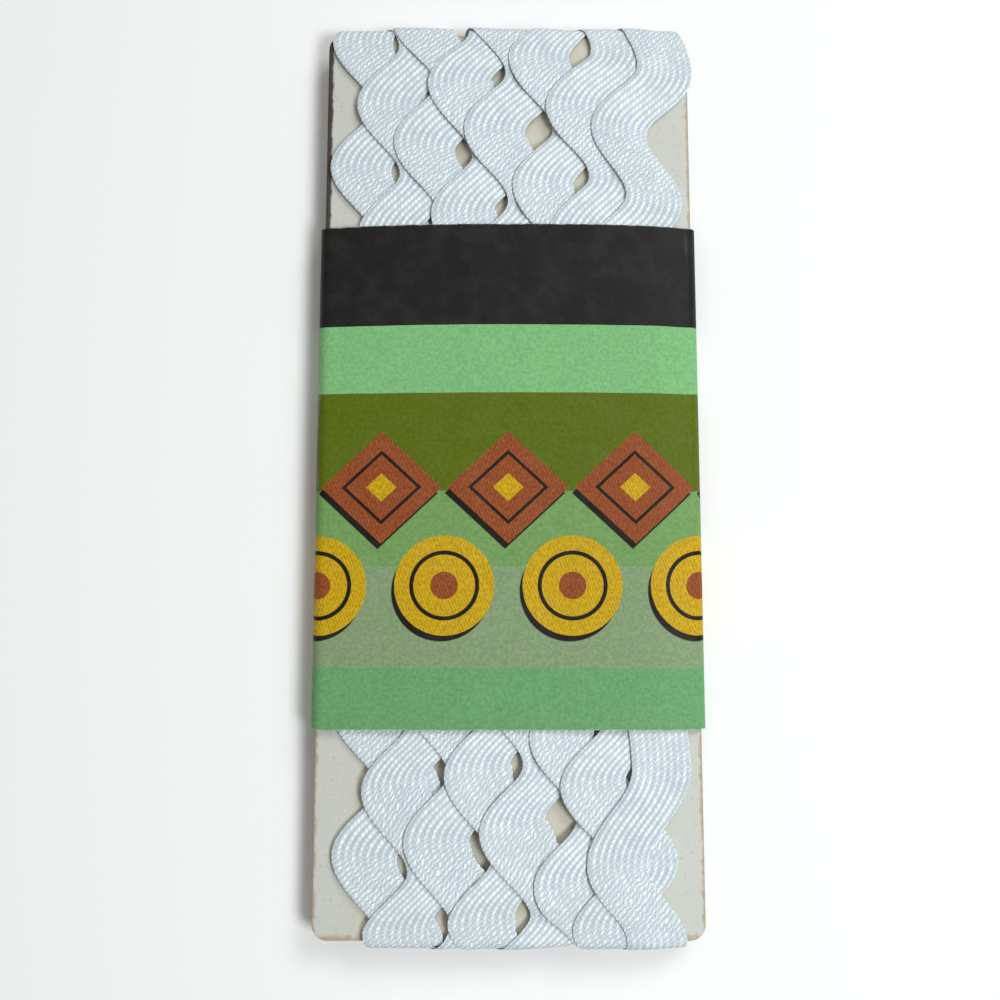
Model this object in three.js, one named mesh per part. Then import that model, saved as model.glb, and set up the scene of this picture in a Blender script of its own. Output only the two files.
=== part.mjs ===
import * as THREE from 'three';
import { mergeVertices } from 'three/addons/utils/BufferGeometryUtils.js';

// A length of wide ric rac wound lengthwise round a small card, with a paper band round
// the middle that holds the turns. Millimetres, +Z up, +X to the right and +Y towards
// the card's top. The roll lies on its back, on the flat back face of the band.

// Card
const CARD = { wide: 57.15, long: 139.7, thick: 1.0, corner: 2.3 };

// Braid: its width across a crest, and the wave of its centre line
const BRAID = {
  thick: 0.9,
  swing: 3.3, // from the centre of the wave to a crest
  wave: 21.2,
  rise: 0.54, // share of a wave from a left crest to the next right crest
  lean: 1.2, // how far the right edge runs ahead of the left edge
  fan: 0.13, // how far a section turns towards the slope of the wave
};

// Gaps between the braid and the card, and between one turn and the next
const CARD_GAP = 0.3;
const TURN_GAP = 0.1;

// Winding: the braid's length over each end of the card, the loose lengths that are
// tucked behind the band, and the waves from the foot of one front pass to the next
const END_TURN = 4.0;
const TAIL = 63;
const WAVES_BEHIND = 8;
const LAST_TAIL_DRIFT = -6;

// Height over which the soft turns press each other thin. Share of that height that the
// winding keeps in the open, under the band and at the card's ends, how far from them it
// swells again, and how flat it rounds the ends
const SOFTNESS = 2.6;
const SWELL = { open: 0.95, underBand: 0.7, atEnds: 0.6, run: 6 };
const END_FLATNESS = 0.65;

// Front passes from left to right: the left edge's highest and lowest left crest, the
// waves between them, and the braid's width
const PASSES = [
  { topX: -27.9, topY: 47.1, footX: -25.8, footY: -58.1, waves: 5, wide: 9.6 },
  { topX: -23.8, topY: 57.3, footX: -21.1, footY: -68.8, waves: 6, wide: 9.6 },
  { topX: -17.9, topY: 50.4, footX: -15.3, footY: -55.9, waves: 5, wide: 9.6 },
  { topX: -12.6, topY: 60.6, footX: -8.8, footY: -67.1, waves: 6, wide: 9.6 },
  { topX: -6.9, topY: 53.0, footX: -4.3, footY: -53.7, waves: 5, wide: 9.6 },
  { topX: 0.1, topY: 65.2, footX: 3.6, footY: -61.8, waves: 6, wide: 9.6 },
  { topX: 5.9, topY: 57.1, footX: 9.2, footY: -68.3, waves: 6, wide: 9.6 },
  { topX: 13.1, topY: 53.5, footX: 11.3, footY: -59.0, waves: 5, wide: 8.8 },
];

// Places where a pass strays from its even run: a left crest's place, so many waves below
// the pass's highest one. Y runs on past the card's end as the braid does.
const STRAYS = [
  { turn: 4, waves: 6, x: -2.8, y: -74.9 },
  { turn: 6, waves: -1, x: 7.4, y: 78.1 },
  { turn: 6, waves: 5, x: 7.5, y: -47.6 },
  { turn: 7, waves: -2, x: 12.0, y: 101.0 },
  { turn: 7, waves: -1, x: 14.4, y: 80.6 },
  { turn: 7, waves: -0.46, x: 13.9, y: 63.1 },
  { turn: 7, waves: 1, x: 10.7, y: 31.5 },
  { turn: 7, waves: 4.4, x: 11.4, y: -36.0 },
  { turn: 7, waves: 4.54, x: 11.4, y: -45.5 },
];

// Paper band
const BAND = { top: 37.3, foot: -39.6, thick: 1.0, corner: 2.4, gap: 0.3 };

// Steps between the braid's sections: at the card's ends, in the open, under the band
const STEP = { turn: 0.81, open: 2.12, covered: 3.9 };

// Relief map of the turns laid so far, and the steps that lay a turn on it and press
// its top into it
const MAP_CELL = 0.4;
const MAP_HALF_WIDTH = 36;
const LAY_STEP = 0.6;
const LAY_LAG = 5;
const PRESS_STEP = 0.08;
const REST_ROUNDS = 3;
const ACROSS = [-1, -0.75, -0.5, -0.25, 0, 0.25, 0.5, 0.75, 1];

const HALF_LONG = CARD.long / 2;
const FIRST_RADIUS = CARD.thick / 2 + CARD_GAP;
const ROUND = 2 * (CARD.long + END_TURN);
const START = CARD.long - TAIL;
const FINISH = PASSES.length * ROUND + TAIL;

// Knots of the centre line: distance along the winding, wave count, middle and width
function centreKnots() {
  const knots = [];
  let wave = 0;
  PASSES.forEach((pass, turn) => {
    const frontMiddle = turn * ROUND + CARD.long + END_TURN + HALF_LONG;
    const crests = [
      { waves: 0, x: pass.topX, y: pass.topY },
      { waves: pass.waves, x: pass.footX, y: pass.footY },
      ...STRAYS.filter((stray) => stray.turn === turn),
    ];
    crests.sort((a, b) => a.waves - b.waves);
    for (const { waves, x, y } of crests) {
      knots.push({
        along: frontMiddle - y,
        wave: wave + waves,
        x: x + pass.wide / 2 + BRAID.swing,
        wide: pass.wide,
      });
    }
    wave += pass.waves + WAVES_BEHIND;
  });
  const first = knots[0];
  const last = knots[knots.length - 1];
  const before = first.along - START;
  const after = FINISH - last.along;
  knots.unshift({ ...first, along: START, wave: first.wave - before / BRAID.wave });
  knots.push({
    ...last,
    along: FINISH,
    wave: last.wave + after / BRAID.wave,
    x: last.x + LAST_TAIL_DRIFT,
  });
  return knots;
}

const KNOTS = centreKnots();

// Middle, width and sideways place of the centre line at a distance along the winding
function centreAt(along) {
  let i = 1;
  while (i < KNOTS.length - 1 && KNOTS[i].along < along) i++;
  const a = KNOTS[i - 1];
  const b = KNOTS[i];
  const share = (along - a.along) / (b.along - a.along);
  const mix = (key) => THREE.MathUtils.lerp(a[key], b[key], share);
  const phase = THREE.MathUtils.euclideanModulo(mix('wave'), 1);
  const evened = phase < BRAID.rise
    ? phase / BRAID.rise / 2
    : 1 - (1 - phase) / (1 - BRAID.rise) / 2;
  return { x: mix('x') - BRAID.swing * Math.cos(2 * Math.PI * evened), wide: mix('wide') };
}

// A point of the flat braid: across runs from -1 at its left edge to 1 at its right edge.
// Its sections lie slanted on the card's faces and square to the card over its ends.
function braidPoint(along, across) {
  const { x, wide } = centreAt(along);
  const slope = (centreAt(along + 0.1).x - centreAt(along - 0.1).x) / 0.2;
  const half = across * wide / 2;
  const slant = across * BRAID.lean / 2 - BRAID.fan * slope * half;
  const run = THREE.MathUtils.euclideanModulo(along, CARD.long + END_TURN);
  const fromEnd = Math.min(run, CARD.long - run);
  const onFace = THREE.MathUtils.smoothstep(fromEnd, 0, SWELL.run);
  return { x: x + half, along: along + slant * onFace };
}

// Share of its loose height that the winding keeps at a place along the card
function swellAt(y) {
  const { smoothstep } = THREE.MathUtils;
  const fromBand = Math.abs(y - (BAND.top + BAND.foot) / 2) - (BAND.top - BAND.foot) / 2;
  const bandHold = 1 - smoothstep(fromBand, 0, SWELL.run);
  const endHold = smoothstep(Math.abs(y), HALF_LONG - SWELL.run, HALF_LONG);
  const held = (SWELL.open - SWELL.underBand) * bandHold;
  return SWELL.open - held - (SWELL.open - SWELL.atEnds) * endHold;
}

// Height of a loose height once the turns over it press it
function pressed(height) {
  return SOFTNESS * Math.log(1 + height / SOFTNESS);
}

// Wraps a flat point round the card, at a loose height over the first turn's inner face
function wrap(x, along, height) {
  const place = THREE.MathUtils.euclideanModulo(along, ROUND);
  const onBack = place < CARD.long + END_TURN;
  const run = onBack ? place : place - CARD.long - END_TURN;
  const side = onBack ? 1 : -1;
  const y = Math.min(run, CARD.long) - HALF_LONG;
  const radius = FIRST_RADIUS + pressed(height) * swellAt(side * y);
  const angle = Math.PI * Math.max(0, run - CARD.long) / END_TURN;
  const bulge = END_FLATNESS * radius * Math.sin(angle);
  return new THREE.Vector3(x, side * (y + bulge), -side * radius * Math.cos(angle));
}

// Relief map: the height of what already lies at a place round the card
class ReliefMap {
  constructor() {
    this.rows = Math.round(ROUND / MAP_CELL);
    this.columns = Math.ceil(2 * MAP_HALF_WIDTH / MAP_CELL);
    this.heights = new Float64Array(this.rows * this.columns);
  }

  cell(x, along, rowStep = 0) {
    const place = THREE.MathUtils.euclideanModulo(along, ROUND) / ROUND;
    const row = (Math.floor(place * this.rows) + rowStep + this.rows) % this.rows;
    const column = Math.round((x + MAP_HALF_WIDTH) / MAP_CELL);
    return row * this.columns + column;
  }

  height(x, along) {
    return this.heights[this.cell(x, along)];
  }

  raise(x, along, height) {
    for (const rowStep of [-1, 0, 1]) {
      const cell = this.cell(x, along, rowStep);
      this.heights[cell] = Math.max(this.heights[cell], height);
    }
  }
}

// Height across a section that is bent once, at its middle
function bentHeight(section, across) {
  const edge = across < 0 ? section.left : section.right;
  return THREE.MathUtils.lerp(section.middle, edge, Math.abs(across));
}

// The bent section that lies on the relief at a distance along the winding: where a
// place between two of its heights is too low, the lower of the two is raised
function restOn(map, along) {
  const points = ACROSS.map((across) => braidPoint(along, across));
  const reliefs = points.map((point) => map.height(point.x, point.along));
  const centre = (reliefs.length - 1) / 2;
  const section = { left: reliefs[0], middle: reliefs[centre], right: reliefs[2 * centre] };
  for (let round = 0; round < REST_ROUNDS; round++) {
    ACROSS.forEach((across, i) => {
      const short = reliefs[i] - bentHeight(section, across);
      if (short <= 0) return;
      const edge = across < 0 ? 'left' : 'right';
      const edgeIsLower = section[edge] < section.middle;
      const lower = edgeIsLower ? edge : 'middle';
      const weight = edgeIsLower ? Math.abs(across) : 1 - Math.abs(across);
      section[lower] = Math.min(reliefs[i], section[lower] + short / weight);
    });
  }
  return section;
}

// Stations of the braid's sections along the winding, at the same places in every turn
function braidStations() {
  const face = HALF_LONG - (BAND.top - STEP.open);
  const stretches = [
    { to: STEP.turn, step: STEP.turn },
    { to: face, step: STEP.open },
    { to: CARD.long - face, step: STEP.covered },
    { to: CARD.long - STEP.turn, step: STEP.open },
    { to: CARD.long, step: STEP.turn },
    { to: CARD.long + END_TURN, step: STEP.turn },
  ];
  const runs = [];
  let from = 0;
  for (const { to, step } of stretches) {
    const steps = Math.ceil((to - from) / step);
    for (let i = 0; i < steps; i++) runs.push(THREE.MathUtils.lerp(from, to, i / steps));
    from = to;
  }
  const stations = [START];
  for (let half = 0; half <= 2 * PASSES.length; half++) {
    for (const run of runs) {
      const along = half * (CARD.long + END_TURN) + run;
      if (along > START + STEP.turn && along < FINISH - STEP.turn) stations.push(along);
    }
  }
  stations.push(FINISH);
  return stations;
}

const STATIONS = braidStations();
const KEYS = ['left', 'middle', 'right'];

function highest(...sections) {
  const join = (key) => Math.max(...sections.map((section) => section[key]));
  return Object.fromEntries(KEYS.map((key) => [key, join(key)]));
}

function mixed(a, b, share) {
  const mix = (key) => THREE.MathUtils.lerp(a[key], b[key], share);
  return Object.fromEntries(KEYS.map((key) => [key, mix(key)]));
}

// Calls a function at short steps between a station and the next, with the share
function alongSpan(index, visit) {
  const from = STATIONS[index];
  const to = STATIONS[index + 1];
  const steps = Math.ceil((to - from) / LAY_STEP);
  for (let i = 0; i <= steps; i++) visit(THREE.MathUtils.lerp(from, to, i / steps), i / steps);
}

// Lays the whole braid, each turn on the turns before it: a section clears all that lies
// under the spans on both sides of it, and is no lower than the mean of its neighbours
function layBraid() {
  const map = new ReliefMap();
  const last = STATIONS.length - 1;
  const rests = [];
  const sections = [];
  for (let i = 0; i <= last + LAY_LAG; i++) {
    if (i < last) {
      const found = [];
      alongSpan(i, (along) => found.push(restOn(map, along)));
      rests.push(highest(...found));
    }
    const at = i - LAY_LAG;
    if (at < 0) continue;
    const near = [at - 2, at - 1, at, at + 1].map((j) => (
      rests[THREE.MathUtils.clamp(j, 0, last - 1)]
    ));
    const even = mixed(mixed(near[0], near[3], 0.5), mixed(near[1], near[2], 0.5), 0.5);
    sections.push(highest(near[1], near[2], even));
    if (at === 0) continue;
    alongSpan(at - 1, (along, share) => {
      const section = mixed(sections[at - 1], sections[at], share);
      for (let across = -1; across <= 1; across += PRESS_STEP) {
        const point = braidPoint(along, across);
        const top = bentHeight(section, across) + BRAID.thick + TURN_GAP;
        map.raise(point.x, point.along, top);
      }
    });
  }
  return { map, sections };
}

const { map: RELIEF, sections: SECTIONS } = layBraid();

// The wound braid: one box, with a section at each station, bent once across
function woundBraid() {
  const spans = STATIONS.length - 1;
  const geometry = new THREE.BoxGeometry(2, spans, BRAID.thick, 2, spans, 1);
  const points = geometry.attributes.position;
  for (let i = 0; i < points.count; i++) {
    const across = Math.round(points.getX(i));
    const station = Math.round(spans / 2 - points.getY(i));
    const rest = bentHeight(SECTIONS[station], across);
    const flat = braidPoint(STATIONS[station], across);
    const place = wrap(flat.x, flat.along, rest + BRAID.thick / 2 + points.getZ(i));
    points.setXYZ(i, place.x, place.y, place.z);
  }
  return geometry;
}

// Highest relief under the band, on the card's front and back
function stackUnderBand() {
  const stack = { front: 0, back: 0 };
  for (let y = BAND.foot - MAP_CELL; y <= BAND.top + MAP_CELL; y += MAP_CELL) {
    for (let x = -CARD.wide / 2; x <= CARD.wide / 2; x += MAP_CELL) {
      const onFront = RELIEF.height(x, CARD.long + END_TURN + HALF_LONG - y);
      const onBack = RELIEF.height(x, HALF_LONG + y);
      stack.front = Math.max(stack.front, onFront);
      stack.back = Math.max(stack.back, onBack);
    }
  }
  return stack;
}

// Outline of a rectangle with rounded corners, from its edges
function roundedOutline(path, left, right, low, high, corner) {
  path.moveTo(left + corner, low);
  path.lineTo(right - corner, low);
  path.absarc(right - corner, low + corner, corner, -Math.PI / 2, 0);
  path.lineTo(right, high - corner);
  path.absarc(right - corner, high - corner, corner, 0, Math.PI / 2);
  path.lineTo(left + corner, high);
  path.absarc(left + corner, high - corner, corner, Math.PI / 2, Math.PI);
  path.lineTo(left, low + corner);
  path.absarc(left + corner, low + corner, corner, Math.PI, 1.5 * Math.PI);
  return path;
}

function cardBlank() {
  const x = CARD.wide / 2;
  const outline = roundedOutline(new THREE.Shape(), -x, x, -HALF_LONG, HALF_LONG, CARD.corner);
  const blank = new THREE.ExtrudeGeometry(outline, {
    depth: CARD.thick, curveSegments: 6, bevelEnabled: false,
  });
  return blank.translate(0, 0, -CARD.thick / 2);
}

// The band: a flattened paper tube whose walls clear the turns inside it
function paperBand(stack) {
  const x = CARD.wide / 2 + BAND.gap;
  const low = -(FIRST_RADIUS + pressed(stack.back) * SWELL.underBand + BAND.gap);
  const high = FIRST_RADIUS + pressed(stack.front) * SWELL.underBand + BAND.gap;
  const wall = BAND.thick;
  const outline = roundedOutline(
    new THREE.Shape(), -x - wall, x + wall, low - wall, high + wall, BAND.corner + wall,
  );
  outline.holes.push(roundedOutline(new THREE.Path(), -x, x, low, high, BAND.corner));
  const tube = new THREE.ExtrudeGeometry(outline, {
    depth: BAND.top - BAND.foot, curveSegments: 8, bevelEnabled: false,
  });
  return tube.rotateX(Math.PI / 2).translate(0, BAND.top, 0);
}

function material(color, roughness) {
  return new THREE.MeshStandardMaterial({ color, roughness, metalness: 0 });
}

function piece(name, shape, finish) {
  shape.deleteAttribute('normal');
  shape.deleteAttribute('uv');
  const geometry = mergeVertices(shape, 1e-4);
  geometry.computeVertexNormals();
  const mesh = new THREE.Mesh(geometry, finish);
  mesh.name = name;
  return mesh;
}

const roll = new THREE.Group();
roll.add(
  piece('card', cardBlank(), material(0xc8c6b9, 0.9)),
  piece('ric_rac', woundBraid(), material(0xf3f4f5, 0.85)),
  piece('band', paperBand(stackUnderBand()), material(0x76be7d, 0.5)),
);

// The origin is under the middle of the roll, on the surface that it lies on
const box = new THREE.Box3().setFromObject(roll);
const middle = box.getCenter(new THREE.Vector3());
for (const mesh of roll.children) {
  mesh.position.set(-middle.x, -middle.y, -box.min.z);
}

export default roll;
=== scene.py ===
"""Wide white ric rac wound on a chipboard card and held by a printed paper band."""

import logging
import math
from dataclasses import dataclass, field
from enum import Enum
from typing import Callable

import bpy
import numpy as np
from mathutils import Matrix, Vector


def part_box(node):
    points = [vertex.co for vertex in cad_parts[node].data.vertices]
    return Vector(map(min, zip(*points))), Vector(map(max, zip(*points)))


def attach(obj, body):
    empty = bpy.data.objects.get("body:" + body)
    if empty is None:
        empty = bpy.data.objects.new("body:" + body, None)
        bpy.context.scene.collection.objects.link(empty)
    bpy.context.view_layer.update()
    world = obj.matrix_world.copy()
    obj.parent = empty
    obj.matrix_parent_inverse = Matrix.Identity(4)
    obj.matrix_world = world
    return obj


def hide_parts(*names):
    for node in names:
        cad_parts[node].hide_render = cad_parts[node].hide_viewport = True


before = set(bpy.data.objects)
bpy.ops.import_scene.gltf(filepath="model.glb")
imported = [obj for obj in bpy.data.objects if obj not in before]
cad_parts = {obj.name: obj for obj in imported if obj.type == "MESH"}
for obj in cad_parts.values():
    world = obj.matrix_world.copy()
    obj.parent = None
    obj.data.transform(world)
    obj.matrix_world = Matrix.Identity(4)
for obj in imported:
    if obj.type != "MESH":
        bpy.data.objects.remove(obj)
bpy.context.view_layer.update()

logging.basicConfig(level=logging.INFO, format="%(name)s: %(message)s")
log = logging.getLogger("roll")

MM = 0.001
BODY = "root"
SMOOTH_ANGLE = math.radians(40)
LONG_FIBRE = (1, 0.25, 1)
CROSS_FIBRE = (0.3, 1, 1)
FLECK_LOW, FLECK_HIGH = 0.33, 0.46

Array = np.ndarray
Colour = tuple[float, float, float, float]
Face = tuple[int, ...]
Node = bpy.types.Node
Piece = bpy.types.Object
Socket = bpy.types.NodeSocket
Span = tuple[float, float]
Tree = bpy.types.NodeTree
Value = Socket | float


def linear(red: int, green: int, blue: int) -> Colour:
    """Turns a screen colour into the linear colour that a shader takes.

    Args:
        red: Red, 0 to 255.
        green: Green, 0 to 255.
        blue: Blue, 0 to 255.

    Returns:
        The linear colour with an alpha of 1.
    """
    def channel(value: int) -> float:
        """Turns one channel."""
        share = value / 255
        return share / 12.92 if share <= 0.04045 else ((share + 0.055) / 1.055) ** 2.4

    return channel(red), channel(green), channel(blue), 1.0


class Coords(Enum):
    """Where a finish reads its place from."""

    OBJECT = "Object"
    UV = "UV"


class NodeBench:
    """Adds and links the nodes of one material or node group."""

    def __init__(self, tree: Tree) -> None:
        """Keeps the tree to work on."""
        self.tree = tree

    def node(self, kind: str, **settings: object) -> Node:
        """Adds a node.

        Args:
            kind: The node's Blender type name.
            **settings: Properties to set on it.

        Returns:
            The new node.
        """
        made = self.tree.nodes.new(kind)
        for name, value in settings.items():
            setattr(made, name, value)
        return made

    def feed(self, socket: Socket, value: object) -> None:
        """Links a socket to another, or gives it a plain value.

        Args:
            socket: The input to feed.
            value: Another node's output, or a plain value.
        """
        if isinstance(value, bpy.types.NodeSocket):
            self.tree.links.new(value, socket)
        else:
            socket.default_value = value

    def give(self, node: Node, **values: object) -> None:
        """Feeds a node's inputs by name, with _ for a space."""
        for name, value in values.items():
            self.feed(node.inputs[name.replace("_", " ")], value)

    def math(self, operation: str, *values: Value, clamp: bool = False) -> Socket:
        """Adds a Math node.

        Args:
            operation: The node's operation.
            *values: Its one, two or three inputs.
            clamp: Whether the result is kept between 0 and 1.

        Returns:
            The result.
        """
        made = self.node("ShaderNodeMath", operation=operation, use_clamp=clamp)
        for socket, value in zip(made.inputs, values):
            self.feed(socket, value)
        return made.outputs[0]

    def plus(self, one: Value, two: Value) -> Socket:
        """Adds two values."""
        return self.math("ADD", one, two)

    def minus(self, one: Value, two: Value) -> Socket:
        """Takes the second value from the first."""
        return self.math("SUBTRACT", one, two)

    def times(self, one: Value, two: Value) -> Socket:
        """Multiplies two values."""
        return self.math("MULTIPLY", one, two)

    def over(self, one: Value, two: Value) -> Socket:
        """Divides the first value by the second."""
        return self.math("DIVIDE", one, two)

    def line(self, value: Value, rise: Value, start: Value) -> Socket:
        """Multiplies a value by its rise and adds a start."""
        return self.math("MULTIPLY_ADD", value, rise, start)

    def unsigned(self, value: Value) -> Socket:
        """Returns a value without its sign."""
        return self.math("ABSOLUTE", value)

    def square(self, value: Value) -> Socket:
        """Squares a value."""
        return self.math("POWER", value, 2.0)

    def most(self, one: Value, two: Value) -> Socket:
        """Returns the higher of two values."""
        return self.math("MAXIMUM", one, two)

    def least(self, one: Value, two: Value) -> Socket:
        """Returns the lower of two values."""
        return self.math("MINIMUM", one, two)

    def ramp(self, value: Value, low: float, high: float) -> Socket:
        """Turns a value into a soft 0 to 1 step between two limits.

        Args:
            value: The value.
            low: Where the step is 0.
            high: Where it is 1.

        Returns:
            The step.
        """
        made = self.node("ShaderNodeMapRange", interpolation_type="SMOOTHSTEP")
        self.give(made, Value=value, From_Min=low, From_Max=high)
        return made.outputs["Result"]

    def fall(self, value: Value, low: float, high: float) -> Socket:
        """Turns a value into a soft 1 to 0 step between two limits."""
        return self.minus(1.0, self.ramp(value, low, high))

    def mix(self, share: Value, first: object, second: object, blend: str = "MIX") -> Socket:
        """Mixes two colours.

        Args:
            share: How much of the second there is.
            first: The first colour.
            second: The second colour.
            blend: The blend type.

        Returns:
            The mixed colour.
        """
        made = self.node("ShaderNodeMix", data_type="RGBA", blend_type=blend)
        self.feed(made.inputs[0], share)
        self.feed(made.inputs[6], first)
        self.feed(made.inputs[7], second)
        return made.outputs[2]

    def noise(self, place: Socket, scale: Value, detail: float = 2.0) -> Socket:
        """Adds a Noise Texture.

        Args:
            place: The place that it reads.
            scale: How fine it is.
            detail: How many finer layers it has.

        Returns:
            The noise, about 0 to 1.
        """
        made = self.node("ShaderNodeTexNoise")
        self.give(made, Vector=place, Scale=scale, Detail=detail)
        return made.outputs["Fac"]

    def place(self, coords: Coords) -> Socket:
        """Returns the coordinates that a finish reads."""
        return self.node("ShaderNodeTexCoord").outputs[coords.value]

    def split(self, place: Socket) -> tuple[Socket, Socket, Socket]:
        """Splits a place into its three numbers.

        Args:
            place: The place.

        Returns:
            Its x, y and z.
        """
        made = self.node("ShaderNodeSeparateXYZ")
        self.feed(made.inputs[0], place)
        return made.outputs[0], made.outputs[1], made.outputs[2]

    def stretch(self, place: Socket, scale: tuple[float, float, float]) -> Socket:
        """Scales a place along its axes.

        Args:
            place: The place.
            scale: The scale along each axis.

        Returns:
            The scaled place.
        """
        made = self.node("ShaderNodeMapping")
        self.give(made, Vector=place, Scale=scale)
        return made.outputs["Vector"]

    def bump(self, height: Socket, depth: float) -> Socket:
        """Adds a Bump node.

        Args:
            height: Height from 0 to 1.
            depth: What a height of 1 is, in metres.

        Returns:
            The bumped normal.
        """
        made = self.node("ShaderNodeBump")
        self.give(made, Strength=1.0, Distance=depth, Height=height)
        return made.outputs["Normal"]

    def group(self, tree: Tree, **values: object) -> Node:
        """Places a node group.

        Args:
            tree: The group.
            **values: Its inputs by name, with _ for a space.

        Returns:
            The placed group.
        """
        made = self.node("ShaderNodeGroup")
        made.node_tree = tree
        self.give(made, **values)
        return made


def new_group(
    name: str, inputs: dict[str, float | None], outputs: tuple[str, ...]
) -> tuple[Tree, Node, Node]:
    """Starts a shader node group with named sockets.

    Args:
        name: The group's name.
        inputs: Each input's starting value, or None for a vector.
        outputs: The names of its outputs, which are all numbers.

    Returns:
        The group, its input node and its output node.
    """
    tree = bpy.data.node_groups.new(name, "ShaderNodeTree")
    for title, start in inputs.items():
        kind = "NodeSocketVector" if start is None else "NodeSocketFloat"
        socket = tree.interface.new_socket(name=title, in_out="INPUT", socket_type=kind)
        if start is not None:
            socket.default_value = start
    for title in outputs:
        tree.interface.new_socket(name=title, in_out="OUTPUT", socket_type="NodeSocketFloat")
    return tree, tree.nodes.new("NodeGroupInput"), tree.nodes.new("NodeGroupOutput")


def fibre_group() -> Tree:
    """Builds the paper fibre effect that the card and the band share.

    Returns:
        A group with Fleck, a sparse mask, and Tooth, a fine height.
    """
    tree, given, result = new_group(
        "Paper fibre", {"Vector": None, "Fineness": 3000.0}, ("Fleck", "Tooth")
    )
    bench = NodeBench(tree)
    long, cross = (
        bench.noise(bench.stretch(given.outputs["Vector"], scale), given.outputs["Fineness"])
        for scale in (LONG_FIBRE, CROSS_FIBRE)
    )
    bench.give(
        result,
        Fleck=bench.ramp(bench.times(long, cross), FLECK_LOW, FLECK_HIGH),
        Tooth=bench.times(bench.plus(long, cross), 0.5),
    )
    return tree


@dataclass(frozen=True)
class Family:
    """One family of a plait's stitches, with its sizes in millimetres.

    Shift is its place in the pattern, as a share of a row and of a stitch, and lean is how
    far its stitches lean from straight across the braid, in degrees.
    """

    shift: float
    lean: float
    half_long: float
    half_wide: float


@dataclass(frozen=True)
class Plait:
    """A braid's plaited stitches, soft ovals in rows, drawn by a node group.

    The bold stitches all lean the same way. Where the braid runs as they lean they join
    into beaded ribs, and where it runs the other way they are dots. The yarns that cross
    them show between the rows as fainter, smaller stitches. Luck is how far a stitch's
    strength varies, and the least that it is. Lengths are in millimetres.
    """

    bold: Family = Family(0.0, 54, 0.48, 0.2)
    faint: Family = Family(0.5, 126, 0.42, 0.15)
    rib_slope: float = -0.8
    rib_longer: float = -0.05
    rib_wider: float = 0.05
    faint_share: float = 0.5
    faint_on_rib: float = -0.35
    luck: Span = (0.6, 0.65)
    wander_scale: float = 0.8
    wander_across: float = 0.3
    wander_along: float = 0.9
    filament: float = 0.12
    filament_share: float = 0.07

    def group(self) -> Tree:
        """Builds the group.

        Its vector is a place on the braid in millimetres, across it and along its length,
        and Slope says how steeply the braid runs to the right there.

        Returns:
            A group with Height, the stitches' relief, and Yarn, their shade from 0 to 1.
        """
        tree, given, result = new_group(
            "Plaited stitches",
            {"Vector": None, "Slope": 0.0, "Selvage": 0.5, "Row Pitch": 1.0, "Stitch Pitch": 0.85},
            ("Height", "Yarn"),
        )
        bench = NodeBench(tree)
        place, slope = given.outputs["Vector"], given.outputs["Slope"]
        row_pitch, stitch_pitch = given.outputs["Row Pitch"], given.outputs["Stitch Pitch"]
        across, along, _ = bench.split(place)
        wander = bench.minus(bench.noise(place, self.wander_scale), 0.5)
        across = bench.minus(across, given.outputs["Selvage"])
        rows = bench.over(bench.line(wander, self.wander_across, across), row_pitch)
        stitches = bench.over(bench.line(wander, self.wander_along, along), stitch_pitch)
        drop = bench.over(stitch_pitch, bench.math("SQRT", bench.line(slope, slope, 1.0)))

        def draw(family: Family, half_long: Value, half_wide: Value) -> tuple[Socket, Socket]:
            """Draws one family of stitches, each reaching into the cells before and after.

            Args:
                family: The family.
                half_long: Half a stitch's length here.
                half_wide: Half its width here.

            Returns:
                The stitches, and the place across the nearest one.
            """
            row, stitch = bench.plus(rows, family.shift), bench.plus(stitches, family.shift)
            side = bench.times(bench.minus(bench.math("FRACT", row), 0.5), row_pitch)
            ahead = bench.minus(bench.math("FRACT", stitch), 0.5)
            sine, cosine = math.sin(math.radians(family.lean)), math.cos(math.radians(family.lean))
            ovals, widths = [], []
            for step in (-1, 0, 1):
                cell = bench.node("ShaderNodeCombineXYZ")
                number = bench.plus(bench.math("FLOOR", stitch), step)
                bench.give(cell, X=bench.math("FLOOR", row), Y=number)
                chance = bench.node("ShaderNodeTexWhiteNoise", noise_dimensions="2D")
                bench.give(chance, Vector=cell.outputs[0])
                down = bench.times(bench.minus(ahead, step), drop)
                right = bench.line(slope, down, side)
                long = bench.line(down, -sine, bench.times(right, cosine))
                wide = bench.line(down, cosine, bench.times(right, sine))
                reach = bench.times(bench.square(bench.over(long, half_long)), -1.0)
                out = bench.minus(reach, bench.square(bench.over(wide, half_wide)))
                luck = bench.line(chance.outputs["Value"], *self.luck)
                ovals.append(bench.times(bench.math("EXPONENT", out), luck))
                widths.append(wide)
            return bench.most(ovals[1], bench.most(ovals[0], ovals[2])), widths[1]

        rib = bench.ramp(slope, 0.0, self.rib_slope)
        bold, wide = draw(
            self.bold,
            bench.line(rib, self.rib_longer, self.bold.half_long),
            bench.line(rib, self.rib_wider, self.bold.half_wide),
        )
        faint, _ = draw(self.faint, self.faint.half_long, self.faint.half_wide)
        faint = bench.times(faint, bench.line(rib, self.faint_on_rib, self.faint_share))
        lines = bench.math("COSINE", bench.times(wide, math.tau / self.filament))
        lines = bench.times(lines, bold)
        shade = bench.line(lines, self.filament_share, bench.most(bold, faint))
        bench.give(result, Yarn=bench.math("ADD", shade, 0.0, clamp=True), Height=shade)
        return tree


def new_material(name: str) -> tuple[bpy.types.Material, NodeBench, Node]:
    """Starts a material.

    Args:
        name: The material's name.

    Returns:
        The material, a bench for its nodes, and its shader.
    """
    material = bpy.data.materials.new(name)
    material.use_nodes = True
    shader = material.node_tree.nodes["Principled BSDF"]
    return material, NodeBench(material.node_tree), shader


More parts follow.
